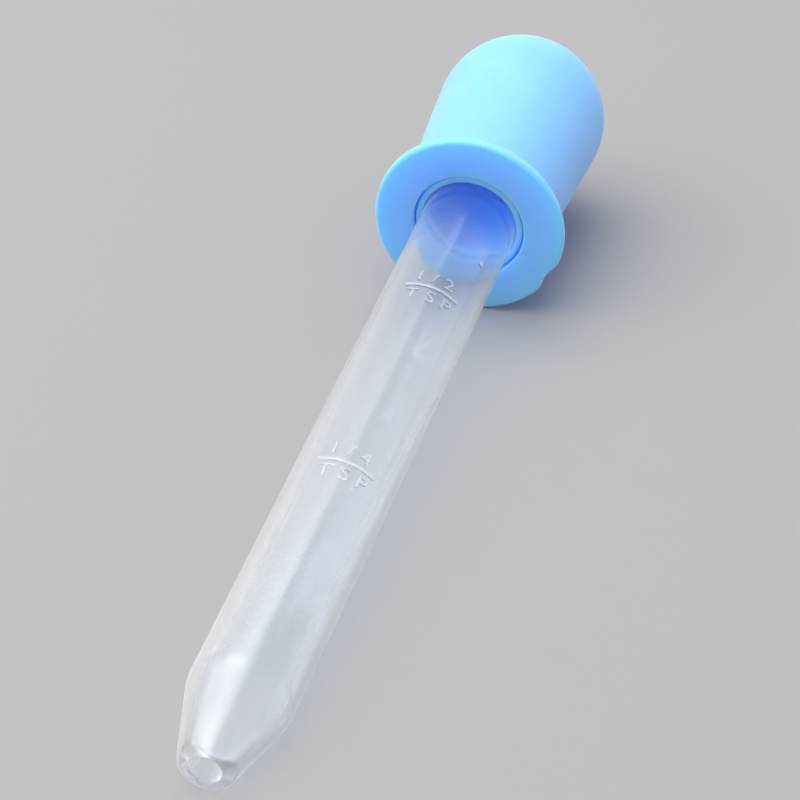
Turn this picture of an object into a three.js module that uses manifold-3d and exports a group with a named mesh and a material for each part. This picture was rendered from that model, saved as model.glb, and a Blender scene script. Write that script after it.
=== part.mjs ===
// Medicine dropper: a graduated polypropylene tube pushed into a silicone squeeze bulb.
// Millimetres, +Z up. The dropper lies along X, with its tip towards -X and its bulb towards +X.
// X is 0 half way along the dropper, and Z is 0 at its lowest facet, which is the flange's.
// Both mouldings are turned shapes. A profile is a list of points (distance from the dropper's
// axis, distance along it). Distances along the axis start at the flange's front face, and grow
// towards the bulb.

import * as THREE from 'three';
import Module from 'manifold-3d';
import { mergeVertices } from 'three/addons/utils/BufferGeometryUtils.js';

const wasm = await Module();
wasm.setup();

// ---- Driving dimensions ----

const SIDES = 48; // flat facets round each moulding

// Graduated tube
const TUBE_REACH = 78; // from the flange's front face to the end of the tip
const TUBE_INSERT = 10; // the part of the tube inside the bulb
const TUBE_RADIUS = 4.78; // outside, at the flange's front face
const TUBE_DRAFT = 0.0053; // growth of the radius per mm towards the bulb
const TUBE_WALL = 0.8;
const TIP_TAPER = 7.9; // length of the cone that narrows to the tip
const TIP_RADIUS = 2.31; // outside of the tip, if its edge were sharp
const TIP_BORE = 1.31; // radius of the hole in the tip
const TIP_ROUND = 0.85; // radius of the tip's outer edge
const TOP_ROUND = 0.25; // radius of the edges of the end inside the bulb

// Graduations: raised bars, in teaspoons on one side and in millilitres on the other
const TEASPOON = 4928.92; // cubic mm
const MILLILITRE = 1000; // cubic mm
const TEASPOON_MARKS = [1 / 4, 1 / 2];
const MILLILITRE_MARKS = [0.5, 1, 1.5, 2, 2.5];
const TEASPOON_SWEEP = THREE.MathUtils.degToRad(65); // how far a bar reaches round the tube
const MILLILITRE_SWEEP = THREE.MathUtils.degToRad(23);
const SCALE_TURN = THREE.MathUtils.degToRad(-17); // from straight up to the teaspoon bars' middle
const BAR_WIDTH = 0.4; // along the tube
const BAR_HEIGHT = 0.12; // proud of the tube
const BAR_STEPS = 6;

// Squeeze bulb
const NECK_RADIUS = 7.6; // outside, where the bulb leaves the flange
const FLARE_RADIUS = 8.94; // outside, where the straight flare meets the dome
const FLARE_END = 21.45;
const BULB_WALL = 1.6;
const FLANGE_RADIUS = 9.75;
const FLANGE_THICKNESS = 1.1;
const FLANGE_ROUND = 0.45; // radius of the rim's two edges
const FLANGE_FILLET = 0.5; // between the flange and the neck
const MOUTH_STEP = 0.92; // how much wider the mouth is than the tube, all round
const MOUTH_DEPTH = 0.3;
const SOCKET_SPARE = 1.5; // how much deeper the socket is than the tube reaches
const SOCKET_SLOPE = 3; // length of the cone from the socket to the cavity
const DOME_STEPS = 12;

// Fit
const PUSH_FIT_CLEARANCE = 0.15; // between the tube and the socket, all round

// ---- Sizes that follow ----

const TIP_END = -TUBE_REACH;
const TAPER_START = TIP_END + TIP_TAPER;

const tubeRadiusAt = (along) => TUBE_RADIUS + TUBE_DRAFT * along;
const boreRadiusAt = (along) => tubeRadiusAt(along) - TUBE_WALL;

const MOUTH_RADIUS = TUBE_RADIUS + MOUTH_STEP;
const SOCKET_RADIUS = tubeRadiusAt(TUBE_INSERT) + PUSH_FIT_CLEARANCE;
const SOCKET_END = TUBE_INSERT + SOCKET_SPARE;

// The dome is part of a sphere that the flare meets without a corner
const FLARE_ANGLE = Math.atan2(FLARE_RADIUS - NECK_RADIUS, FLARE_END - FLANGE_THICKNESS);
const DOME_RADIUS = FLARE_RADIUS / Math.cos(FLARE_ANGLE);
const DOME_CENTRE = FLARE_END + DOME_RADIUS * Math.sin(FLARE_ANGLE);
const BULB_LENGTH = DOME_CENTRE + DOME_RADIUS;

const flareRadiusAt = (along) => NECK_RADIUS + (along - FLANGE_THICKNESS) * Math.tan(FLARE_ANGLE);

// ---- Helpers ----

const point = (radius, along) => new THREE.Vector2(radius, along);

/** Points on an arc of a profile, from one angle to another. 0 points outwards, 90 to the bulb. */
function arc(centre, radius, startDegrees, endDegrees, steps) {
  const points = [];
  for (let i = 0; i <= steps; i++) {
    const angle = THREE.MathUtils.degToRad(startDegrees + ((endDegrees - startDegrees) * i) / steps);
    points.push(point(centre.x + radius * Math.cos(angle), centre.y + radius * Math.sin(angle)));
  }
  return points;
}

/** The closed profile turned about the X axis, with a facet lowest. */
function turned(profile) {
  const closed = [...profile, profile[0].clone()];
  return new THREE.LatheGeometry(closed, SIDES, Math.PI / SIDES).rotateZ(-Math.PI / 2);
}

/** A closed geometry as a solid that can be joined to others. */
function solidFrom(geometry) {
  const bare = new THREE.BufferGeometry();
  bare.setAttribute('position', geometry.getAttribute('position'));
  bare.setIndex(geometry.index);
  const merged = mergeVertices(bare, 1e-5);
  const mesh = new wasm.Mesh({
    numProp: 3,
    vertProperties: new Float32Array(merged.getAttribute('position').array),
    triVerts: new Uint32Array(merged.index.array),
  });
  return new wasm.Manifold(mesh);
}

/** A solid as a geometry. */
function geometryFrom(solid) {
  const mesh = solid.getMesh();
  const geometry = new THREE.BufferGeometry();
  geometry.setAttribute('position', new THREE.BufferAttribute(mesh.vertProperties, 3));
  geometry.setIndex(new THREE.BufferAttribute(mesh.triVerts, 1));
  geometry.computeVertexNormals();
  return geometry;
}

// ---- Graduated tube ----

/** Volume of a cone frustum. */
const frustum = (radiusA, radiusB, length) =>
  (Math.PI * length * (radiusA ** 2 + radiusA * radiusB + radiusB ** 2)) / 3;

/** How far along the axis this volume of liquid fills the tube, held with its tip down. */
function fillLevel(volume) {
  const startBore = boreRadiusAt(TAPER_START);
  const inTip = frustum(TIP_BORE, startBore, TIP_TAPER);
  let low = TAPER_START;
  let high = TUBE_INSERT;
  for (let i = 0; i < 40; i++) {
    const level = (low + high) / 2;
    const held = inTip + frustum(startBore, boreRadiusAt(level), level - TAPER_START);
    if (held < volume) {
      low = level;
    } else {
      high = level;
    }
  }
  return (low + high) / 2;
}

/** A raised bar at this level. Its middle is at this angle about the axis, from +Z towards +Y. */
function graduationBar(level, middle, sweep) {
  const outer = tubeRadiusAt(level) + BAR_HEIGHT;
  const inner = tubeRadiusAt(level) - TUBE_WALL / 2;
  const outline = [];
  for (let i = 0; i <= BAR_STEPS; i++) {
    const angle = middle + sweep * (i / BAR_STEPS - 0.5);
    outline.push(new THREE.Vector2(outer * Math.sin(angle), outer * Math.cos(angle)));
    outline.unshift(new THREE.Vector2(inner * Math.sin(angle), inner * Math.cos(angle)));
  }
  const bar = new THREE.ExtrudeGeometry(new THREE.Shape(outline), { depth: BAR_WIDTH, bevelEnabled: false });
  const acrossToY = new THREE.Vector3(0, 1, 0);
  const upToZ = new THREE.Vector3(0, 0, 1);
  const depthToX = new THREE.Vector3(1, 0, 0);
  bar.applyMatrix4(new THREE.Matrix4().makeBasis(acrossToY, upToZ, depthToX));
  return bar.translate(level - BAR_WIDTH / 2, 0, 0);
}

function graduatedTube() {
  const topRadius = tubeRadiusAt(TUBE_INSERT) - TOP_ROUND;
  const topBore = boreRadiusAt(TUBE_INSERT) + TOP_ROUND;
  const topCentre = TUBE_INSERT - TOP_ROUND;
  const profile = [
    point(TIP_BORE, TIP_END),
    ...arc(point(TIP_RADIUS - TIP_ROUND, TIP_END + TIP_ROUND), TIP_ROUND, -90, -14, 4),
    point(tubeRadiusAt(TAPER_START), TAPER_START),
    ...arc(point(topRadius, topCentre), TOP_ROUND, 0, 90, 2),
    ...arc(point(topBore, topCentre), TOP_ROUND, 90, 180, 2),
    point(boreRadiusAt(TAPER_START), TAPER_START),
  ];
  const bars = [
    ...TEASPOON_MARKS.map((spoons) =>
      graduationBar(fillLevel(spoons * TEASPOON), SCALE_TURN, TEASPOON_SWEEP),
    ),
    ...MILLILITRE_MARKS.map((amount) =>
      graduationBar(fillLevel(amount * MILLILITRE), SCALE_TURN + Math.PI, MILLILITRE_SWEEP),
    ),
  ];
  const moulding = bars.reduce((solid, bar) => solid.add(solidFrom(bar)), solidFrom(turned(profile)));
  return geometryFrom(moulding);
}

// ---- Squeeze bulb ----

/** The dome's arc from the flare to the crown, for a surface this far inside the outer one. */
function dome(inset) {
  const startDegrees = THREE.MathUtils.radToDeg(FLARE_ANGLE);
  return arc(point(0, DOME_CENTRE), DOME_RADIUS - inset, -startDegrees, 90, DOME_STEPS);
}

function squeezeBulb() {
  const rimRadius = FLANGE_RADIUS - FLANGE_ROUND;
  const fillet = Math.min(FLANGE_FILLET, (rimRadius - NECK_RADIUS) / 2);
  const cavityStart = SOCKET_END + SOCKET_SLOPE;
  const wallAcross = BULB_WALL / Math.cos(FLARE_ANGLE);
  const profile = [
    point(SOCKET_RADIUS, MOUTH_DEPTH),
    point(MOUTH_RADIUS, MOUTH_DEPTH),
    point(MOUTH_RADIUS, 0),
    ...arc(point(rimRadius, FLANGE_ROUND), FLANGE_ROUND, -90, 0, 3),
    ...arc(point(rimRadius, FLANGE_THICKNESS - FLANGE_ROUND), FLANGE_ROUND, 0, 90, 3),
    ...arc(point(NECK_RADIUS + fillet, FLANGE_THICKNESS + fillet), fillet, -90, -180, 2),
    ...dome(0),
    ...dome(BULB_WALL).reverse(),
    point(flareRadiusAt(cavityStart) - wallAcross, cavityStart),
    point(SOCKET_RADIUS, SOCKET_END),
  ];
  return turned(profile);
}

// ---- Materials and assembly ----

const polypropylene = new THREE.MeshStandardMaterial({ color: 0xe3e8ee, roughness: 0.3, metalness: 0 });
const silicone = new THREE.MeshStandardMaterial({ color: 0x7cc4f8, roughness: 0.45, metalness: 0 });

const dropper = new THREE.Group();
dropper.position.x = (TUBE_REACH - BULB_LENGTH) / 2;
dropper.position.z = Math.max(FLANGE_RADIUS, DOME_RADIUS) * Math.cos(Math.PI / SIDES);

const tube = new THREE.Mesh(graduatedTube(), polypropylene);
tube.name = 'graduated_tube';
dropper.add(tube);

const bulb = new THREE.Mesh(squeezeBulb(), silicone);
bulb.name = 'squeeze_bulb';
dropper.add(bulb);

export default dropper;
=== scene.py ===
"""Medicine dropper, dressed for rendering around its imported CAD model.

The dropper is two mouldings: a graduated polypropylene tube, and the silicone squeeze bulb that
it is pushed into. Both are round about one axis, which runs along X with the tip towards -X.
The sizes of the mouldings are in millimetres. Lengths run along the axis from the front face of
the bulb's flange, and grow towards the bulb. A finished mesh is in metres, in the CAD's frame.
"""

import logging
import math
from collections.abc import Callable, Mapping, Sequence
from dataclasses import dataclass, field
from enum import Enum

import bmesh
import bpy
from mathutils import Matrix, Vector


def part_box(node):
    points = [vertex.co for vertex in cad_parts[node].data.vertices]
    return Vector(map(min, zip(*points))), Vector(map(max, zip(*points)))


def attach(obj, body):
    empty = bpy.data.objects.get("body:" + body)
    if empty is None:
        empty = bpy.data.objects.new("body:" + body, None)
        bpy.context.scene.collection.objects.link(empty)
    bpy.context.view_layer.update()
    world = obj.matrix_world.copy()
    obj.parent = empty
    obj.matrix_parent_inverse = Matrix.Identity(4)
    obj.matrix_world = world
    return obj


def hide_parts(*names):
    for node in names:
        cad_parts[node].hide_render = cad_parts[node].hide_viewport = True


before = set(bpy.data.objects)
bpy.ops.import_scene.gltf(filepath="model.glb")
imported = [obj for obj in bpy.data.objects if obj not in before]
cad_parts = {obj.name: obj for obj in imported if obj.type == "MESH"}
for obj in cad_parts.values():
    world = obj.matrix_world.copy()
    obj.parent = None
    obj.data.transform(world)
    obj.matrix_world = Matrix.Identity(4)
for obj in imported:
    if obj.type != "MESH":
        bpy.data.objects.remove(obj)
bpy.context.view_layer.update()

LOG = logging.getLogger("dropper")

METRES_PER_MM = 0.001
TEASPOON = 4928.92  # cubic mm
MILLILITRE = 1000.0  # cubic mm
SAME_POINT = 1e-5  # mm
NOISE_MIDDLE = (0.3, 0.7)  # the part of a noise's range that most of it lies in


# ---- Where the dropper lies -------------------------------------------------------------------


@dataclass(frozen=True)
class Lie:
    """Where the two mouldings lie, in metres, as the CAD model has them.

    Attributes:
        face: X of the flange's front face.
        height: Z of the axis.
        tip: X of the tip's end.
        top: X of the tube's end inside the bulb.
        crown: X of the bulb's far end.
    """

    face: float
    height: float
    tip: float
    top: float
    crown: float

    @classmethod
    def from_frame(cls) -> "Lie":
        """Reads the places from the CAD nodes' boxes."""
        tube_low, tube_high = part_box("graduated_tube")
        bulb_low, bulb_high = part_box("squeeze_bulb")
        height = (bulb_low.z + bulb_high.z) / 2
        return cls(bulb_low.x, height, tube_low.x, tube_high.x, bulb_high.x)

    def along(self, x: float) -> float:
        """The distance in mm along the axis, from the flange's face, of this X in metres."""
        return (x - self.face) / METRES_PER_MM

    def matrix(self) -> Matrix:
        """Turns a mesh in mm about the flange's centre into metres in the CAD's frame."""
        scale = Matrix.Scale(METRES_PER_MM, 4)
        return Matrix.Translation((self.face, 0.0, self.height)) @ scale


# ---- Turned shapes ----------------------------------------------------------------------------


@dataclass(frozen=True)
class Corner:
    """A corner of a moulding's section, in mm, and the radius that rounds it."""

    along: float
    radius: float
    rounding: float = 0.0


def arc(along: float, radius: float, start: float, end: float, steps: int) -> list[Corner]:
    """Corners on an arc whose centre is on the axis.

    Args:
        along: The centre's distance along the axis.
        radius: The arc's radius.
        start: The first corner's angle in degrees. 0 points outwards, and 90 to the bulb.
        end: The last corner's angle in degrees.
        steps: How many edges the arc has.

    Returns:
        The corners, with no rounding.
    """
    angles = [math.radians(start + (end - start) * i / steps) for i in range(steps + 1)]
    return [Corner(along + radius * math.sin(a), radius * math.cos(a)) for a in angles]


def rounding_offset(before: Corner, at: Corner, after: Corner) -> float:
    """How far from a corner its rounding starts, so that it is an arc of the asked radius.

    Args:
        before: The corner before it in the section.
        at: The corner.
        after: The corner after it.

    Returns:
        The distance in mm along each of the corner's two edges.
    """
    to_before = Vector((before.along - at.along, before.radius - at.radius))
    to_after = Vector((after.along - at.along, after.radius - at.radius))
    return at.rounding / math.tan(to_before.angle(to_after) / 2)


def turn(corners: Sequence[Corner], sides: int, segments: int) -> bmesh.types.BMesh:
    """Turns a closed section about the X axis into a closed shell.

    Args:
        corners: The section's corners in order.
        sides: How many faces go round the shell.
        segments: How many edges round a corner.

    Returns:
        The shell, with its normals pointing out of the material.
    """
    bm = bmesh.new()
    verts = [bm.verts.new((c.along, 0.0, max(c.radius, 0.0))) for c in corners]
    bm.faces.new(verts)
    for i, corner in enumerate(corners):
        if corner.rounding > 0:
            after = corners[(i + 1) % len(corners)]
            bmesh.ops.bevel(
                bm,
                geom=[verts[i]],
                offset=rounding_offset(corners[i - 1], corner, after),
                offset_type="OFFSET",
                segments=segments,
                profile=0.5,
                affect="VERTICES",
                material=-1,
            )
    bmesh.ops.delete(bm, geom=bm.faces[:], context="FACES_ONLY")
    section = bm.verts[:] + bm.edges[:]
    bmesh.ops.spin(
        bm,
        geom=section,
        cent=(0.0, 0.0, 0.0),
        axis=(1.0, 0.0, 0.0),
        angle=math.tau,
        steps=sides,
        use_merge=True,
    )
    bmesh.ops.remove_doubles(bm, verts=bm.verts[:], dist=SAME_POINT)
    bmesh.ops.dissolve_degenerate(bm, edges=bm.edges[:], dist=SAME_POINT / 10)
    bmesh.ops.recalc_face_normals(bm, faces=bm.faces[:])
    return bm


def shade(bm: bmesh.types.BMesh, crease: float) -> None:
    """Shades every face smooth, apart from the sharp edges.

    Args:
        bm: The shape.
        crease: The angle in degrees between two faces from which their edge is sharp.
    """
    for face in bm.faces:
        face.smooth = True
    for edge in bm.edges:
        edge.smooth = edge.calc_face_angle(0.0) < math.radians(crease)


def new_object(name: str, bm: bmesh.types.BMesh) -> bpy.types.Object:
    """Makes an object of a bmesh, and frees the bmesh.

    Args:
        name: The object's name, and its mesh's.
        bm: The shape.

    Returns:
        The object, in the scene.
    """
    mesh = bpy.data.meshes.new(name)
    bm.to_mesh(mesh)
    bm.free()
    made = bpy.data.objects.new(name, mesh)
    bpy.context.scene.collection.objects.link(made)
    return made


# ---- Colours and nodes ------------------------------------------------------------------------


def colour(hex_code: str) -> tuple[float, float, float, float]:
    """Turns an sRGB colour into a linear one.

    Args:
        hex_code: The colour, such as "#7cc4f8".

    Returns:
        Linear red, green and blue, and an alpha of 1.
    """
    parts = [int(hex_code[i : i + 2], 16) / 255 for i in (1, 3, 5)]
    red, green, blue = (
        c / 12.92 if c <= 0.04045 else ((c + 0.055) / 1.055) ** 2.4 for c in parts
    )
    return red, green, blue, 1.0


def per_size(millimetres: float) -> float:
    """The scale of a pattern in metres whose features are this size."""
    return 1.0 / (millimetres * METRES_PER_MM)


def add_node(
    tree: bpy.types.NodeTree,
    kind: str,
    settings: Mapping[str | int, object] | None = None,
    links: Mapping[str | int, bpy.types.NodeSocket] | None = None,
) -> bpy.types.Node:
    """Adds a node.

    Args:
        tree: The material's node tree.
        kind: The node's type, without "ShaderNode".
        settings: Values of the node's own properties by name, or of its inputs by name or number.
        links: The sockets that feed its inputs, by the input's name or number.

    Returns:
        The new node.
    """
    node = tree.nodes.new("ShaderNode" + kind)
    for name, value in (settings or {}).items():
        if isinstance(name, str) and hasattr(node, name):
            setattr(node, name, value)
        else:
            node.inputs[name].default_value = value
    for name, socket in (links or {}).items():
        tree.links.new(socket, node.inputs[name])
    return node


@dataclass(frozen=True)
class Finish:
    """What every finish shares: its name, its place on the axis and its empty material."""

    name: str
    height: float

    def start(self) -> tuple[bpy.types.Material, bpy.types.NodeTree, bpy.types.NodeSocket]:
        """Makes the material, and coordinates whose X axis is the dropper's axis.

        Returns:
            The material, its empty node tree, and the socket of the coordinates, in metres.
        """
        material = bpy.data.materials.new(self.name)
        material.use_nodes = True
        tree = material.node_tree
        tree.nodes.clear()
        place = add_node(tree, "TexCoord").outputs["Object"]
        centred = add_node(
            tree, "Mapping", {"Location": (0.0, 0.0, -self.height)}, {"Vector": place}
        )
        return material, tree, centred.outputs["Vector"]


def noise(
    tree: bpy.types.NodeTree,
    place: bpy.types.NodeSocket,
    size: float,
    stretch: float = 1.0,
    detail: float = 3.0,
) -> bpy.types.NodeSocket:
    """Makes noise.

    Args:
        tree: The material's node tree.
        place: The coordinates, in metres.
        size: How many mm across its features are.
        stretch: How many times longer they are along the axis.
        detail: How many finer layers it has.

    Returns:
        A socket between 0 and 1.
    """
    stretched = add_node(tree, "Mapping", {"Scale": (1.0 / stretch, 1.0, 1.0)}, {"Vector": place})
    texture = add_node(
        tree,
        "TexNoise",
        {"Scale": per_size(size), "Detail": detail},
        {"Vector": stretched.outputs["Vector"]},
    )
    return texture.outputs["Fac"]


def remap(
    tree: bpy.types.NodeTree,
    value: bpy.types.NodeSocket,
    source: tuple[float, float],
    target: tuple[float, float],
) -> bpy.types.NodeSocket:
    """Maps a value from one range to another.

    Args:
        tree: The material's node tree.
        value: The value.
        source: The two ends of the range that it comes from.
        target: What the two ends become.

    Returns:
        A socket that stays between the target's ends.
    """
    settings = {
        "From Min": source[0],
        "From Max": source[1],
        "To Min": target[0],
        "To Max": target[1],
    }
    return add_node(tree, "MapRange", settings, {"Value": value}).outputs["Result"]


def specks(
    tree: bpy.types.NodeTree,
    place: bpy.types.NodeSocket,
    spacing: float,
    radius: float,
    share: float,
) -> bpy.types.NodeSocket:
    """A mask of small round specks.

    Args:
        tree: The material's node tree.
        place: The coordinates, in metres.
        spacing: The mean distance between the cells that may hold a speck, in mm.
        radius: A speck's radius in mm.
        share: The share of the cells that hold one.

    Returns:
        A socket that is 1 in a speck and 0 elsewhere.
    """
    cells = add_node(tree, "TexVoronoi", {"Scale": per_size(spacing)}, {"Vector": place})
    reach = radius / spacing
    dot = remap(tree, cells.outputs["Distance"], (reach * 0.5, reach), (1.0, 0.0))
    chosen = add_node(tree, "SeparateColor", {}, {"Color": cells.outputs["Color"]})
    kept = add_node(
        tree, "Math", {"operation": "LESS_THAN", 1: share}, {0: chosen.outputs["Red"]}
    )
    both = add_node(tree, "Math", {"operation": "MULTIPLY"}, {0: dot, 1: kept.outputs[0]})
    return both.outputs[0]


def bump(
    tree: bpy.types.NodeTree, height: bpy.types.NodeSocket, depth: float
) -> bpy.types.NodeSocket:
    """Makes bumps.

    Args:
        tree: The material's node tree.
        height: The pattern, between 0 and 1.
        depth: How deep it is, in mm.

    Returns:
        The bumped normal's socket.
    """
    settings = {"Strength": 1.0, "Distance": depth * METRES_PER_MM}
    return add_node(tree, "Bump", settings, {"Height": height}).outputs["Normal"]


def close(
    material: bpy.types.Material, tree: bpy.types.NodeTree, shader: bpy.types.NodeSocket
) -> bpy.types.Material:
    """Connects the shader to the material's output."""
    add_node(tree, "OutputMaterial", {}, {"Surface": shader})
    return material


def close_lit_through(
    material: bpy.types.Material,
    tree: bpy.types.NodeTree,
    shader: bpy.types.NodeSocket,
    shine_through: str,
) -> bpy.types.Material:
    """Connects the shader to the output, and lets lamps shine through the piece.

    Args:
        material: The material.
        tree: Its node tree.
        shader: What the piece's surface looks like.
        shine_through: The colour of the light that a lamp sends through the surface.

    Returns:
        The material.
    """
    passing = add_node(tree, "BsdfTransparent", {"Color": colour(shine_through)})
    from_lamp = add_node(tree, "LightPath").outputs["Is Shadow Ray"]
    both = add_node(tree, "MixShader", {}, {0: from_lamp, 1: shader, 2: passing.outputs[0]})
    return close(material, tree, both.outputs[0])


# ---- Finishes ---------------------------------------------------------------------------------


@dataclass(frozen=True)
class MouldedSilicone(Finish):
    """Pigmented silicone rubber, compression moulded in a fine blasted mould.

    It is soft to the eye: matt, with light that sinks in and comes out bluer, so that hollows
    and thin walls glow. Dust clings to it.
    """

    body: str = "#79b6f6"
    cloud: str = "#76b4f5"
    cloud_size: float = 7.0  # uneven pigment, in mm
    dust: str = "#dfeefa"
    dust_spacing: float = 3.2  # mm
    dust_radius: float = 0.09  # mm, coarser than real dust so that it shows
    dust_share: float = 0.3
    shine_through: str = "#7eafd8"
    handling_size: float = 2.6  # smudges from fingers, in mm
    roughness: tuple[float, float] = (0.46, 0.58)
    grain: float = 0.22  # the mould's blasted texture, in mm
    grain_depth: float = 0.004  # mm

    def build(self) -> bpy.types.Material:
        """Makes the material."""
        material, tree, place = self.start()
        clouds = remap(tree, noise(tree, place, self.cloud_size), (0.35, 0.65), (0.0, 1.0))
        tinted = add_node(
            tree,
            "MixRGB",
            {"Color1": colour(self.body), "Color2": colour(self.cloud)},
            {"Fac": clouds},
        )
        dust = specks(tree, place, self.dust_spacing, self.dust_radius, self.dust_share)
        dusted = add_node(
            tree,
            "MixRGB",
            {"Color2": colour(self.dust)},
            {"Fac": dust, "Color1": tinted.outputs["Color"]},
        )
        smudges = noise(tree, place, self.handling_size)
        handled = remap(tree, smudges, NOISE_MIDDLE, self.roughness)
        grained = bump(tree, noise(tree, place, self.grain, detail=2.0), self.grain_depth)
        shader = add_node(
            tree,
            "BsdfPrincipled",
            {
                "IOR": 1.41,
                "Subsurface Weight": 1.0,
                "Subsurface Radius": (0.15, 0.45, 1.0),
                "Subsurface Scale": 0.006,
                "Sheen Weight": 0.18,
                "Sheen Roughness": 0.5,
            },
            {
                "Base Color": dusted.outputs["Color"],
                "Roughness": handled,
                "Normal": grained,
            },
        )
        return close_lit_through(material, tree, shader.outputs[0], self.shine_through)


@dataclass(frozen=True)
class MouldedPolypropylene(Finish):
    """Natural polypropylene, injection moulded.

    It is milky clear: what lies behind the wall shows softly. It is clearest near the bulb, and
    towards the tip it is hazier, and whiter where the wall is seen edge-on. Where it is thicker,
    at the raised marks, it is whiter too. Faint flow lines run along it. Lamps shine through it,
    so it casts only a faint shadow.

    Attributes:
        face: X where the surface has this radius, in metres.
        radius: The surface's radius, in mm.
        draft: How much the radius grows per mm along the axis.
    """

    face: float
    radius: float
    draft: float
    body: str = "#f8fbff"
    fleck: str = "#5a5f66"
    fleck_spacing: float = 6.0  # mm
    fleck_radius: float = 0.1  # mm, coarser than real flecks so that it shows
    fleck_share: float = 0.06
    shine_through: str = "#f2f4f7"
    clear_share: float = 0.993  # the light that the clearest wall lets through
    milky_share: float = 0.5  # the light that the whitest wall lets through
    mark_height: tuple[float, float] = (0.03, 0.1)  # mm proud, where a mark whitens
    mark_white: float = 0.38
    white_from: float = 8.0  # mm before the flange's face, where the wall starts to whiten
    white_to: float = 70.0  # mm before the flange's face
    patch_size: float = 5.0  # mm
    patch_white: tuple[float, float] = (0.02, 0.05)
    edge_facing: tuple[float, float] = (0.35, 0.85)
    edge_white: float = 0.66
    haze_from: float = 20.0  # mm before the flange's face, where the wall starts to haze
    haze_to: float = 70.0  # mm before the flange's face
    haze: tuple[float, float] = (0.1, 0.23)
    haze_size: float = 3.0  # mm
    haze_uneven: tuple[float, float] = (0.85, 1.15)
    flow: float = 0.9  # width of a flow line, in mm
    flow_stretch: float = 14.0
    flow_depth: float = 0.0012  # mm

    def towards_tip(
        self,
        tree: bpy.types.NodeTree,
        place: bpy.types.NodeSocket,
        start: float,
        end: float,
        values: tuple[float, float],
    ) -> bpy.types.NodeSocket:
        """Makes a value that changes evenly along the tube.

        Args:
            tree: The material's node tree.
            place: The coordinates, in metres.
            start: Where the change starts, in mm before the flange's face.
            end: Where it ends, nearer to the tip.
            values: The value before the start and the one after the end.

        Returns:
            The value's socket.
        """
        along = add_node(tree, "SeparateXYZ", {}, {"Vector": place}).outputs["X"]
        ends = (self.face - start * METRES_PER_MM, self.face - end * METRES_PER_MM)
        return remap(tree, along, ends, values)

    def raised(
        self, tree: bpy.types.NodeTree, place: bpy.types.NodeSocket
    ) -> bpy.types.NodeSocket:
        """Makes a mask of the raised marks, from how proud of the plain surface a point is.

        Args:
            tree: The material's node tree.
            place: The coordinates, in metres.

        Returns:
            A socket that is 0 on the plain surface.
        """
        across = add_node(tree, "Mapping", {"Scale": (0.0, 1.0, 1.0)}, {"Vector": place})
        distance = add_node(
            tree, "VectorMath", {"operation": "LENGTH"}, {0: across.outputs["Vector"]}
        )
        along = add_node(tree, "SeparateXYZ", {}, {"Vector": place}).outputs["X"]
        start = self.radius * METRES_PER_MM - self.draft * self.face
        surface = add_node(
            tree, "Math", {"operation": "MULTIPLY_ADD", 1: self.draft, 2: start}, {0: along}
        )
        proud = add_node(
            tree,
            "Math",
            {"operation": "SUBTRACT"},
            {0: distance.outputs["Value"], 1: surface.outputs[0]},
        )
        low, high = (height * METRES_PER_MM for height in self.mark_height)
        return remap(tree, proud.outputs[0], (low, high), (0.0, self.mark_white))

    def whiter(
        self, tree: bpy.types.NodeTree, place: bpy.types.NodeSocket
    ) -> bpy.types.NodeSocket:
        """Makes a mask of how white the wall is.

        Args:
            tree: The material's node tree.
            place: The coordinates, in metres.

        Returns:
            A socket that is 0 where the wall is clearest.
        """
        raised = self.raised(tree, place)
        tip = self.towards_tip(tree, place, self.white_from, self.white_to, (0.0, 1.0))
        patches = noise(tree, place, self.patch_size, stretch=2.0)
        patchy = remap(tree, patches, NOISE_MIDDLE, self.patch_white)
        facing = add_node(tree, "LayerWeight", {"Blend": 0.5}).outputs["Facing"]
        edge = remap(tree, facing, self.edge_facing, (0.0, self.edge_white))
        white = add_node(tree, "Math", {"operation": "ADD"}, {0: patchy, 1: edge})
        cloudy = add_node(
            tree, "Math", {"operation": "MULTIPLY"}, {0: tip, 1: white.outputs[0]}
        )
        both = add_node(
            tree, "Math", {"operation": "MAXIMUM"}, {0: raised, 1: cloudy.outputs[0]}
        )
        return both.outputs[0]

    def build(self) -> bpy.types.Material:
        """Makes the material."""
        material, tree, place = self.start()
        flecks = specks(tree, place, self.fleck_spacing, self.fleck_radius, self.fleck_share)
        flecked = add_node(
            tree,
            "MixRGB",
            {"Color1": colour(self.body), "Color2": colour(self.fleck)},
            {"Fac": flecks},
        )
        worn = self.towards_tip(tree, place, self.haze_from, self.haze_to, self.haze)
        patches = noise(tree, place, self.haze_size, stretch=3.0)
        uneven = remap(tree, patches, NOISE_MIDDLE, self.haze_uneven)
        hazy = add_node(tree, "Math", {"operation": "MULTIPLY"}, {0: worn, 1: uneven})
        flow = noise(tree, place, self.flow, stretch=self.flow_stretch)
        lines = bump(tree, flow, self.flow_depth)
        clear, milky = (
            add_node(
                tree,
                "BsdfPrincipled",
                {
                    "IOR": 1.49,
                    "Specular IOR Level": 0.25,
                    "Transmission Weight": share,
                    "Subsurface Weight": 1.0,
                    "Subsurface Radius": (1.0, 1.0, 1.0),
                    "Subsurface Scale": 0.001,
                    "Sheen Weight": 0.3,
                    "Sheen Roughness": 0.3,
                },
                {
                    "Base Color": flecked.outputs["Color"],
                    "Roughness": hazy.outputs[0],
                    "Normal": lines,
                },
            )
            for share in (self.clear_share, self.milky_share)
        )
        moulding = add_node(
            tree,
            "MixShader",
            {},
            {0: self.whiter(tree, place), 1: clear.outputs[0], 2: milky.outputs[0]},
        )
        return close_lit_through(material, tree, moulding.outputs[0], self.shine_through)


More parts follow.
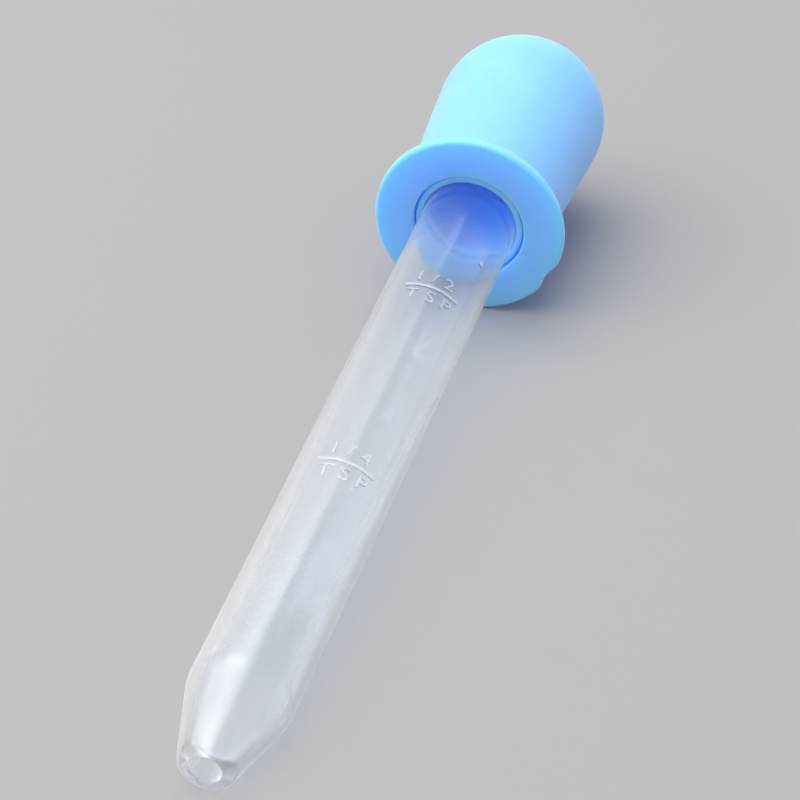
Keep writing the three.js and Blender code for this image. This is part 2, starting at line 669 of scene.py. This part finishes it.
@dataclass(frozen=True)
class PaleCard(Finish):
    """Matt pale card, for the surface that the dropper lies on. It is even and without gloss."""

    body: str = "#8d8d8e"
    fibre: float = 0.6  # mm
    fibre_depth: float = 0.01  # mm

    def build(self) -> bpy.types.Material:
        """Makes the material, which is clear from below so that low views aren't blocked."""
        material, tree, place = self.start()
        fibres = bump(tree, noise(tree, place, self.fibre), self.fibre_depth)
        card = add_node(
            tree,
            "BsdfPrincipled",
            {"Base Color": colour(self.body), "Roughness": 0.9},
            {"Normal": fibres},
        )
        clear = add_node(tree, "BsdfTransparent")
        below = add_node(tree, "NewGeometry").outputs["Backfacing"]
        shader = add_node(
            tree, "MixShader", {}, {0: below, 1: card.outputs["BSDF"], 2: clear.outputs["BSDF"]}
        )
        return close(material, tree, shader.outputs["Shader"])


# ---- Graduated tube ---------------------------------------------------------------------------


class Side(Enum):
    """The tube's two scales, by how far each is turned from the first one, in degrees."""

    TEASPOONS = 0.0
    MILLILITRES = 180.0


@dataclass(frozen=True)
class Mark:
    """One raised mark on the tube: a bar at the level of a volume, with a label above it.

    Attributes:
        volume: What the tube holds up to the bar, in cubic mm.
        label: The text above the bar.
        side: The scale that it belongs to.
        unit: The text below the bar, if any.
    """

    volume: float
    label: str
    side: Side
    unit: str = ""


@dataclass
class Relief:
    """Raised bars and letters, made flat and then wrapped round the tube. Sizes are in mm.

    Flat, X runs to the reader's right round the tube, Y along it to the bulb, and Z outwards.
    """

    radius_at: Callable[[float], float]
    turn: float
    proud: float = 0.11
    sunk: float = 0.3
    edge: float = 0.04
    strip: float = 0.25
    letter_space: float = 1.5
    capital_share: float = 0.7  # a capital's height, as a share of the text's size
    mesh: bmesh.types.BMesh = field(default_factory=bmesh.new)

    def wrap(self, part: bmesh.types.BMesh, level: float, side: Side) -> None:
        """Bends a flat part round the tube, adds it to the relief and frees it.

        Args:
            part: The part.
            level: Where the part's origin goes, in mm along the axis.
            side: The scale that it belongs to.
        """
        span = max(abs(v.co.x) for v in part.verts)
        for i in range(math.ceil(span / self.strip)):
            for x in {i * self.strip, -i * self.strip}:
                bmesh.ops.bisect_plane(
                    part,
                    geom=part.verts[:] + part.edges[:] + part.faces[:],
                    plane_co=(x, 0.0, 0.0),
                    plane_no=(1.0, 0.0, 0.0),
                )
        for v in part.verts:
            along = level + v.co.y
            surface = self.radius_at(along)
            angle = math.radians(self.turn + side.value) - v.co.x / surface
            radius = surface + v.co.z
            v.co = (along, radius * math.sin(angle), radius * math.cos(angle))
        flat = bpy.data.meshes.new("relief_part")
        part.to_mesh(flat)
        part.free()
        self.mesh.from_mesh(flat)
        bpy.data.meshes.remove(flat)

    def add_bar(self, level: float, side: Side, length: float, width: float) -> None:
        """Adds a bar that runs round the tube, with its edges rounded.

        Args:
            level: Its middle, in mm along the axis.
            side: The scale that it belongs to.
            length: Its length round the tube.
            width: Its width along the tube.
        """
        part = bmesh.new()
        bmesh.ops.create_cube(part, size=1.0)
        thickness = self.proud + self.sunk
        bmesh.ops.scale(part, vec=(length, width, thickness), verts=part.verts[:])
        rise = self.proud - thickness / 2
        bmesh.ops.translate(part, vec=(0.0, 0.0, rise), verts=part.verts[:])
        bmesh.ops.bevel(
            part,
            geom=part.edges[:],
            offset=self.edge,
            offset_type="OFFSET",
            segments=2,
            profile=0.5,
            affect="EDGES",
            material=-1,
        )
        self.wrap(part, level, side)

    def add_nib(self, level: float, turn: float, radius: float, height: float) -> None:
        """Adds a low round nib, such as a mould's vent leaves.

        Args:
            level: Its middle, in mm along the axis.
            turn: How far round the tube it is, in degrees from straight up.
            radius: Its radius.
            height: How proud it is.
        """
        part = bmesh.new()
        bmesh.ops.create_uvsphere(part, u_segments=24, v_segments=12, radius=1.0)
        bmesh.ops.scale(part, vec=(radius, radius, height), verts=part.verts[:])
        aside = math.radians(self.turn - turn) * self.radius_at(level)
        bmesh.ops.translate(part, vec=(aside, 0.0, 0.0), verts=part.verts[:])
        self.wrap(part, level, Side.TEASPOONS)

    def add_text(self, text: str, level: float, side: Side, height: float) -> None:
        """Adds a line of text, which is upright when the bulb is at the top.

        Args:
            text: The text.
            level: Its middle, in mm along the axis.
            side: The scale that it belongs to.
            height: Its capitals' height.
        """
        curve = bpy.data.curves.new("label", "FONT")
        curve.body = text
        curve.align_x = "CENTER"
        curve.align_y = "CENTER"
        curve.resolution_u = 3
        curve.space_character = self.letter_space
        curve.extrude = (self.proud + self.sunk) / 2 - self.edge
        curve.bevel_depth = self.edge
        curve.bevel_resolution = 1
        curve.offset = -self.edge
        curve.size = height / self.capital_share
        written = bpy.data.objects.new("label", curve)
        bpy.context.scene.collection.objects.link(written)
        graph = bpy.context.evaluated_depsgraph_get()
        flat = bpy.data.meshes.new_from_object(written.evaluated_get(graph))
        part = bmesh.new()
        part.from_mesh(flat)
        bpy.data.objects.remove(written)
        bpy.data.curves.remove(curve)
        bpy.data.meshes.remove(flat)
        bmesh.ops.remove_doubles(part, verts=part.verts[:], dist=SAME_POINT * 10)
        low = Vector(min(v.co[i] for v in part.verts) for i in range(3))
        high = Vector(max(v.co[i] for v in part.verts) for i in range(3))
        middle = (low + high) / 2
        rise = self.proud - (high.z - low.z) / 2
        shift = Vector((-middle.x, -middle.y, rise - middle.z))
        bmesh.ops.translate(part, vec=shift, verts=part.verts[:])
        self.wrap(part, level, side)


@dataclass
class GraduatedTube:
    """The tube, with its tapered tip and its two raised scales. Sizes are in mm."""

    lie: Lie
    radius: float = 4.78
    draft: float = 0.0053
    wall: float = 0.8
    taper: float = 7.9
    tip_radius: float = 2.31
    tip_bore: float = 1.31
    tip_round: float = 0.85
    tip_bore_round: float = 0.12
    shoulder_round: float = 6.0
    top_round: float = 0.25
    sides: int = 192
    segments: int = 8
    crease: float = 28.0  # degrees
    scale_turn: float = -17.0  # degrees from straight up, towards +Y
    bar_width: float = 0.4
    bar_sweeps: Mapping[Side, float] = field(
        default_factory=lambda: {Side.TEASPOONS: 65.0, Side.MILLILITRES: 23.0}
    )
    label_heights: Mapping[Side, float] = field(
        default_factory=lambda: {Side.TEASPOONS: 1.55, Side.MILLILITRES: 1.3}
    )
    label_gap: float = 0.5
    nib_level: float = -10.1
    nib_turn: float = -56.6  # degrees from straight up, towards +Y
    nib_radius: float = 0.36
    nib_height: float = 0.12
    marks: Sequence[Mark] = (
        Mark(TEASPOON / 4, "1/4", Side.TEASPOONS, "TSP"),
        Mark(TEASPOON / 2, "1/2", Side.TEASPOONS, "TSP"),
        Mark(MILLILITRE * 0.5, "0.5", Side.MILLILITRES),
        Mark(MILLILITRE * 1.0, "1.0", Side.MILLILITRES),
        Mark(MILLILITRE * 1.5, "1.5", Side.MILLILITRES),
        Mark(MILLILITRE * 2.0, "2.0", Side.MILLILITRES),
        Mark(MILLILITRE * 2.5, "2.5", Side.MILLILITRES, "ML"),
    )

    def radius_at(self, along: float) -> float:
        """The outside radius here. The tube narrows a little towards the tip."""
        return self.radius + self.draft * along

    def bore_at(self, along: float) -> float:
        """The inside radius here."""
        return self.radius_at(along) - self.wall

    def level_of(self, volume: float) -> float:
        """Where liquid in the tube reaches, with the tip held down.

        Args:
            volume: How much liquid there is, in cubic mm.

        Returns:
            The level, in mm along the axis.
        """
        start = self.lie.along(self.lie.tip) + self.taper
        wide = self.bore_at(start)
        narrow = self.tip_bore
        in_tip = math.pi * self.taper * (narrow**2 + narrow * wide + wide**2) / 3
        cubed = wide**3 + 3 * self.draft * (volume - in_tip) / math.pi
        return start + (cubed ** (1 / 3) - wide) / self.draft

    def shell(self) -> bmesh.types.BMesh:
        """Turns the tube without its marks.

        Returns:
            The shell, in mm.
        """
        tip = self.lie.along(self.lie.tip)
        top = self.lie.along(self.lie.top)
        start = tip + self.taper
        corners = [
            Corner(tip, self.tip_bore, self.tip_bore_round),
            Corner(tip, self.tip_radius, self.tip_round),
            Corner(start, self.radius_at(start), self.shoulder_round),
            Corner(top, self.radius_at(top), self.top_round),
            Corner(top, self.bore_at(top), self.top_round),
            Corner(start, self.bore_at(start), self.shoulder_round),
        ]
        return turn(corners, self.sides, self.segments)

    def relief(self) -> bmesh.types.BMesh:
        """Makes the bars and labels of both scales, and the nib.

        Returns:
            Closed parts that reach into the tube's wall, in mm.
        """
        relief = Relief(self.radius_at, self.scale_turn)
        relief.add_nib(self.nib_level, self.nib_turn, self.nib_radius, self.nib_height)
        for mark in self.marks:
            level = self.level_of(mark.volume)
            length = math.radians(self.bar_sweeps[mark.side]) * self.radius_at(level)
            relief.add_bar(level, mark.side, length, self.bar_width)
            height = self.label_heights[mark.side]
            offset = self.bar_width / 2 + self.label_gap + height / 2
            relief.add_text(mark.label, level + offset, mark.side, height)
            if mark.unit:
                relief.add_text(mark.unit, level - offset, mark.side, height)
        return relief.mesh

    def build(self) -> bpy.types.Object:
        """Makes the tube as one moulding: the marks are joined to its wall.

        Returns:
            The tube, in the CAD's frame.
        """
        tube = new_object("polypropylene_tube", self.shell())
        marks = new_object("raised_marks", self.relief())
        union = tube.modifiers.new("marks", "BOOLEAN")
        union.operation = "UNION"
        union.solver = "EXACT"
        union.use_self = True
        union.object = marks
        graph = bpy.context.evaluated_depsgraph_get()
        joined = bpy.data.meshes.new_from_object(tube.evaluated_get(graph))
        tube.modifiers.clear()
        bpy.data.objects.remove(marks)
        bm = bmesh.new()
        bm.from_mesh(joined)
        bpy.data.meshes.remove(joined)
        shade(bm, self.crease)
        bmesh.ops.transform(bm, matrix=self.lie.matrix(), verts=bm.verts[:])
        bm.to_mesh(tube.data)
        bm.free()
        return tube

    def dress(self, tube: bpy.types.Object) -> None:
        """Gives the tube its finish and ties it to the CAD model.

        Args:
            tube: The tube that build() made.
        """
        finish = MouldedPolypropylene(
            "polypropylene_moulded_natural",
            self.lie.height,
            self.lie.face,
            self.radius,
            self.draft,
        )
        tube.data.materials.append(finish.build())
        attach(tube, "tube")
        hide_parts("graduated_tube")


# ---- Squeeze bulb -----------------------------------------------------------------------------


@dataclass
class SqueezeBulb:
    """The bulb, with its flange and the socket that grips the tube. Sizes are in mm."""

    lie: Lie
    tube: GraduatedTube
    neck_radius: float = 7.6
    flare_radius: float = 8.94
    flare_end: float = 21.45
    wall: float = 1.6
    flange_radius: float = 9.75
    flange_thickness: float = 1.1
    flange_round: float = 0.45
    fillet: float = 0.5
    mouth_step: float = 0.92
    mouth_depth: float = 0.3
    mouth_round: float = 0.12
    groove_width: float = 0.2
    groove_depth: float = 0.5
    groove_round: float = 0.05
    lip_gap: float = 0.12
    lip_length: float = 1.2
    lip_round: float = 0.3
    lip_end_round: float = 0.1
    socket_gap: float = 0.15
    socket_spare: float = 1.5
    socket_slope: float = 3.0
    socket_round: float = 1.0
    cavity_round: float = 1.5
    dome_steps: int = 28
    sides: int = 192
    segments: int = 8
    crease: float = 50.0  # degrees
    notch_turn: float = -121.0  # degrees from straight up, towards +Y
    notch_width: float = 13.0  # degrees to each side
    notch_depth: float = 0.45
    notch_clearance: float = 1.0  # between the notch and the neck

    @property
    def flare_angle(self) -> float:
        """How much the bulb widens from the flange to the dome, in radians."""
        rise = self.flare_radius - self.neck_radius
        return math.atan2(rise, self.flare_end - self.flange_thickness)

    @property
    def dome_radius(self) -> float:
        """The radius of the sphere that closes the bulb, which the flare meets smoothly."""
        return self.flare_radius / math.cos(self.flare_angle)

    def shell(self) -> bmesh.types.BMesh:
        """Turns the bulb, with its socket and its cavity.

        Returns:
            The shell, in mm.
        """
        top = self.lie.along(self.lie.top)
        socket_end = top + self.socket_spare
        cavity_start = socket_end + self.socket_slope
        lip = self.tube.radius_at(0.0) + self.lip_gap
        socket = self.tube.radius_at(top) + self.socket_gap
        mouth = self.tube.radius_at(0.0) + self.mouth_step
        ledge = mouth - self.groove_width
        groove_end = self.mouth_depth + self.groove_depth
        flare_slope = math.tan(self.flare_angle)
        reach = cavity_start - self.flange_thickness
        outer = self.neck_radius + reach * flare_slope
        cavity = outer - self.wall / math.cos(self.flare_angle)
        centre = self.flare_end + self.dome_radius * math.sin(self.flare_angle)
        lean = math.degrees(self.flare_angle)
        outside = arc(centre, self.dome_radius, -lean, 90.0, self.dome_steps)
        inside = arc(centre, self.dome_radius - self.wall, 90.0, -lean, self.dome_steps)
        corners = [
            Corner(self.mouth_depth + self.lip_length, socket, self.lip_end_round),
            Corner(self.mouth_depth + self.lip_length / 2, lip, self.lip_round),
            Corner(self.mouth_depth, lip, self.mouth_round),
            Corner(self.mouth_depth, ledge, self.mouth_round),
            Corner(groove_end, ledge, self.groove_round),
            Corner(groove_end, mouth, self.groove_round),
            Corner(0.0, mouth, self.mouth_round),
            Corner(0.0, self.flange_radius, self.flange_round),
            Corner(self.flange_thickness, self.flange_radius, self.flange_round),
            Corner(self.flange_thickness, self.neck_radius, self.fillet),
            *outside,
            *inside,
            Corner(cavity_start, cavity, self.cavity_round),
            Corner(socket_end, socket, self.socket_round),
        ]
        return turn(corners, self.sides, self.segments)

    def nick_rim(self, bm: bmesh.types.BMesh) -> None:
        """Dents the flange's rim where the moulding was trimmed from its runner.

        Args:
            bm: The bulb's shell, in mm.
        """
        for v in bm.verts:
            radius = math.hypot(v.co.y, v.co.z)
            turned = math.degrees(math.atan2(v.co.y, v.co.z)) - self.notch_turn
            aside = (turned + 180.0) % 360.0 - 180.0
            outer = radius > self.neck_radius + self.notch_clearance
            on_rim = outer and v.co.x < self.flange_thickness + self.notch_clearance
            if on_rim and abs(aside) < self.notch_width:
                bell = math.cos(math.pi * aside / self.notch_width) / 2 + 0.5
                share = (radius - self.neck_radius) / (self.flange_radius - self.neck_radius)
                shrunk = 1.0 - bell * self.notch_depth * share / radius
                v.co = (v.co.x, v.co.y * shrunk, v.co.z * shrunk)

    def build(self) -> bpy.types.Object:
        """Makes the bulb.

        Returns:
            The bulb, in the CAD's frame.
        """
        bm = self.shell()
        self.nick_rim(bm)
        shade(bm, self.crease)
        bmesh.ops.transform(bm, matrix=self.lie.matrix(), verts=bm.verts[:])
        return new_object("silicone_bulb", bm)

    def dress(self, bulb: bpy.types.Object) -> None:
        """Gives the bulb its finish and ties it to the CAD model.

        Args:
            bulb: The bulb that build() made.
        """
        finish = MouldedSilicone("silicone_rubber_moulded_blue", self.lie.height)
        bulb.data.materials.append(finish.build())
        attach(bulb, "bulb")
        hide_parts("squeeze_bulb")


# ---- Studio -----------------------------------------------------------------------------------


def direction(azimuth: float, elevation: float) -> Vector:
    """The way from the object to a camera or lamp.

    Args:
        azimuth: The angle round the object in degrees. 0 is towards -Y, and 90 towards +X.
        elevation: The angle above level in degrees.

    Returns:
        A vector of length 1.
    """
    a, e = math.radians(azimuth), math.radians(elevation)
    return Vector((math.sin(a) * math.cos(e), -math.cos(a) * math.cos(e), math.sin(e)))


def aimed(place: Vector, target: Vector, up: Vector) -> Matrix:
    """Works out how a camera or lamp stands.

    Args:
        place: Where it is.
        target: What it looks at.
        up: Which way is up for it.

    Returns:
        Its matrix.
    """
    back = (place - target).normalized()
    right = up.cross(back).normalized()
    turned = Matrix((right, back.cross(right), back)).transposed()
    return Matrix.Translation(place) @ turned.to_4x4()


@dataclass(frozen=True)
class Softbox:
    """A square studio lamp. Its place is an angle round the dropper and a distance in metres."""

    name: str
    azimuth: float
    elevation: float
    distance: float
    size: float
    power: float
    tint: str = "#ffffff"


@dataclass
class Studio:
    """The floor, lamps and camera. Lengths are in metres unless they say otherwise."""

    lie: Lie
    bulb: SqueezeBulb
    floor_size: float = 6.0
    surround: str = "#ffffff"
    surround_strength: float = 0.78
    lamps: Sequence[Softbox] = (
        Softbox("key_softbox", 197.0, 66.0, 0.7, 1.0, 7.8),
        Softbox("back_softbox", 107.0, 66.0, 0.7, 0.5, 1.7),
    )
    camera_azimuth: float = 287.07
    camera_elevation: float = 36.48
    camera_distance: float = 0.2167
    aim_before_face: float = 29.6  # mm
    aim_aside: float = -1.4  # mm
    lens: float = 108.0  # mm
    sensor: float = 36.0  # mm
    clip_start: float = 0.01

    def floor_matrix(self) -> Matrix:
        """Works out the floor's plane, which slopes: it touches the flange's rim and the tip.

        Returns:
            The matrix from a level plane at the origin.
        """
        tube = self.bulb.tube
        tip = Vector((self.lie.along(self.lie.tip) + tube.tip_round, tube.tip_round))
        tip.y -= tube.tip_radius
        rim = Vector((self.bulb.flange_round, self.bulb.flange_round))
        rim.y -= self.bulb.flange_radius
        run = rim - tip
        slope = math.atan2(-run.y, run.x)
        slope += math.asin((self.bulb.flange_round - tube.tip_round) / run.length)
        up = Vector((math.sin(slope), 0.0, math.cos(slope)))
        touch = Vector((rim.x, 0.0, rim.y)) - up * self.bulb.flange_round
        place = self.lie.matrix() @ touch
        return Matrix.Translation(place) @ Matrix.Rotation(slope, 4, "Y")

    def lay_floor(self) -> Vector:
        """Makes the floor.

        Returns:
            The direction that is up from it.
        """
        bm = bmesh.new()
        bmesh.ops.create_grid(bm, x_segments=1, y_segments=1, size=self.floor_size / 2)
        matrix = self.floor_matrix()
        bmesh.ops.transform(bm, matrix=matrix, verts=bm.verts[:])
        floor = new_object("studio_floor", bm)
        floor.data.materials.append(PaleCard("card_matt_pale", 0.0).build())
        return matrix.to_3x3() @ Vector((0.0, 0.0, 1.0))

    def hang_lamps(self, target: Vector) -> None:
        """Makes the softboxes and the even light of the room.

        Args:
            target: The point that the softboxes face.
        """
        for lamp in self.lamps:
            light = bpy.data.lights.new(lamp.name, "AREA")
            light.energy = lamp.power
            light.size = lamp.size
            light.color = colour(lamp.tint)[:3]
            hung = bpy.data.objects.new(lamp.name, light)
            place = target + direction(lamp.azimuth, lamp.elevation) * lamp.distance
            hung.matrix_world = aimed(place, target, Vector((0.0, 0.0, 1.0)))
            bpy.context.scene.collection.objects.link(hung)
        world = bpy.data.worlds.new("studio_room")
        world.use_nodes = True
        background = world.node_tree.nodes["Background"]
        background.inputs["Color"].default_value = colour(self.surround)
        background.inputs["Strength"].default_value = self.surround_strength
        bpy.context.scene.world = world

    def set_camera(self, up: Vector) -> Vector:
        """Makes the camera, level with the floor.

        Args:
            up: The direction that is up from the floor.

        Returns:
            The point that the camera looks at.
        """
        offset = Vector((-self.aim_before_face, self.aim_aside, 0.0))
        target = self.lie.matrix() @ offset
        away = direction(self.camera_azimuth, self.camera_elevation)
        data = bpy.data.cameras.new("studio_camera")
        data.lens = self.lens
        data.sensor_width = self.sensor
        data.clip_start = self.clip_start
        camera = bpy.data.objects.new("studio_camera", data)
        camera.matrix_world = aimed(target + away * self.camera_distance, target, up)
        bpy.context.scene.collection.objects.link(camera)
        bpy.context.scene.camera = camera
        return target

    def set_up(self) -> None:
        """Makes the whole studio."""
        bpy.context.scene.view_settings.view_transform = "Standard"
        up = self.lay_floor()
        target = self.set_camera(up)
        self.hang_lamps(target)


# ---- Main -------------------------------------------------------------------------------------


def report(piece: bpy.types.Object) -> None:
    """Logs a finished piece's faces and size.

    Args:
        piece: The piece.
    """
    size = " x ".join(f"{side / METRES_PER_MM:.1f}" for side in piece.dimensions)
    LOG.info("%s: %d faces, %s mm", piece.name, len(piece.data.polygons), size)


def main() -> None:
    """Makes the dropper and its studio."""
    logging.basicConfig(level=logging.INFO, format="%(name)s: %(message)s")
    lie = Lie.from_frame()
    tube = GraduatedTube(lie)
    bulb = SqueezeBulb(lie, tube)
    for moulding in (tube, bulb):
        piece = moulding.build()
        moulding.dress(piece)
        report(piece)
    Studio(lie, bulb).set_up()


if __name__ == "__main__":
    main()
